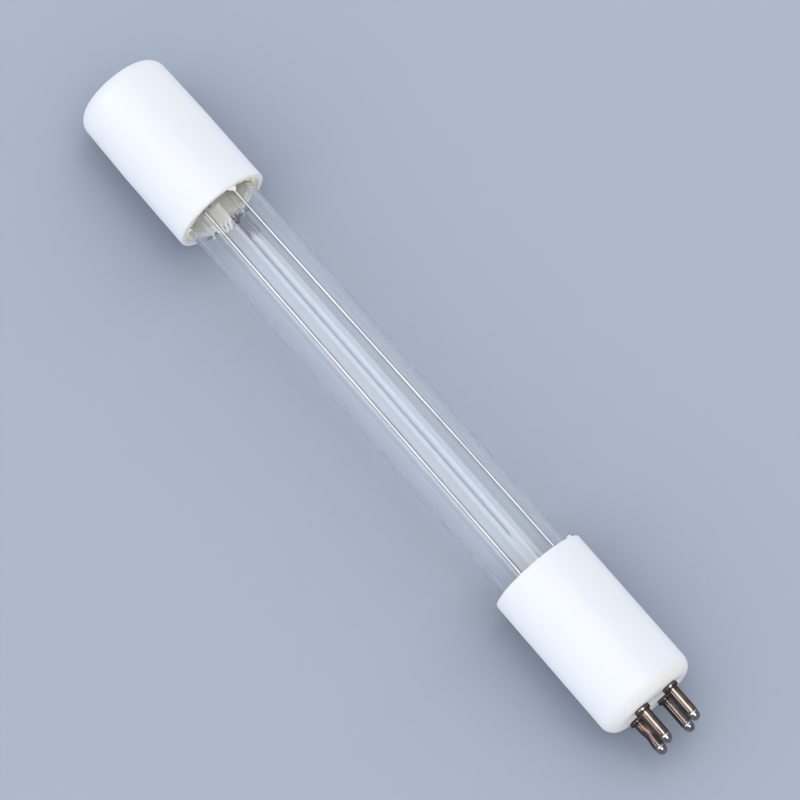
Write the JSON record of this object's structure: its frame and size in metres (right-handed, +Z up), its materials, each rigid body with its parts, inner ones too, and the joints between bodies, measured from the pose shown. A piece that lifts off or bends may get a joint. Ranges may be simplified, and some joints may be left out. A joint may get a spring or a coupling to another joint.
{
  "type": "uvc germicidal lamp tube",
  "caption": "Low pressure mercury lamp: clear quartz tube with coiled filaments between ceramic end caps, bare return wires along the tube and flanged contact pins at one end.",
  "frame": {"origin": "centre of the bounding box's bottom face, on the surface that the lamp lies on, under its axis", "axes": "+X along the lamp from the far cap to the contact pins, +Z up through the side that carries the return wires, +Y to the left looking along +X"},
  "size_m": [0.1588, 0.0194, 0.0194],
  "materials": {
    "ceramic": "smooth white fired ceramic, satin",
    "quartz": "clear polished quartz",
    "basing_cement": "matt beige basing cement",
    "plated_brass": "dark nickel plate, bright polished",
    "nickel_wire": "bright drawn nickel wire",
    "coated_tungsten": "white emitter coating on tungsten wire",
    "molybdenum": "thin rolled foil, satin",
    "solder": "bright tin solder",
    "mercury": "liquid mirror"
  },
  "bodies": {
    "root": {"far_cap": "ceramic", "base_cap": "ceramic", "quartz_tube": "quartz", "filament_far": "coated_tungsten", "foil_far_left": "molybdenum", "inner_lead_far_left": "nickel_wire", "outer_lead_far_left": "nickel_wire", "foil_far_right": "molybdenum", "inner_lead_far_right": "nickel_wire", "outer_lead_far_right": "nickel_wire", "filament_base": "coated_tungsten", "foil_base_left": "molybdenum", "inner_lead_base_left": "nickel_wire", "outer_lead_base_left": "nickel_wire", "foil_base_right": "molybdenum", "inner_lead_base_right": "nickel_wire", "outer_lead_base_right": "nickel_wire", "return_wire_left": "nickel_wire", "return_wire_right": "nickel_wire", "contact_pin_upper_left": "plated_brass", "pin_solder_upper_left": "solder", "contact_pin_upper_right": "plated_brass", "pin_solder_upper_right": "solder", "contact_pin_lower_left": "plated_brass", "pin_solder_lower_left": "solder", "contact_pin_lower_right": "plated_brass", "pin_solder_lower_right": "solder", "far_cement": "basing_cement", "base_cement": "basing_cement", "mercury_drop": "mercury"}
  },
  "joints": []
}
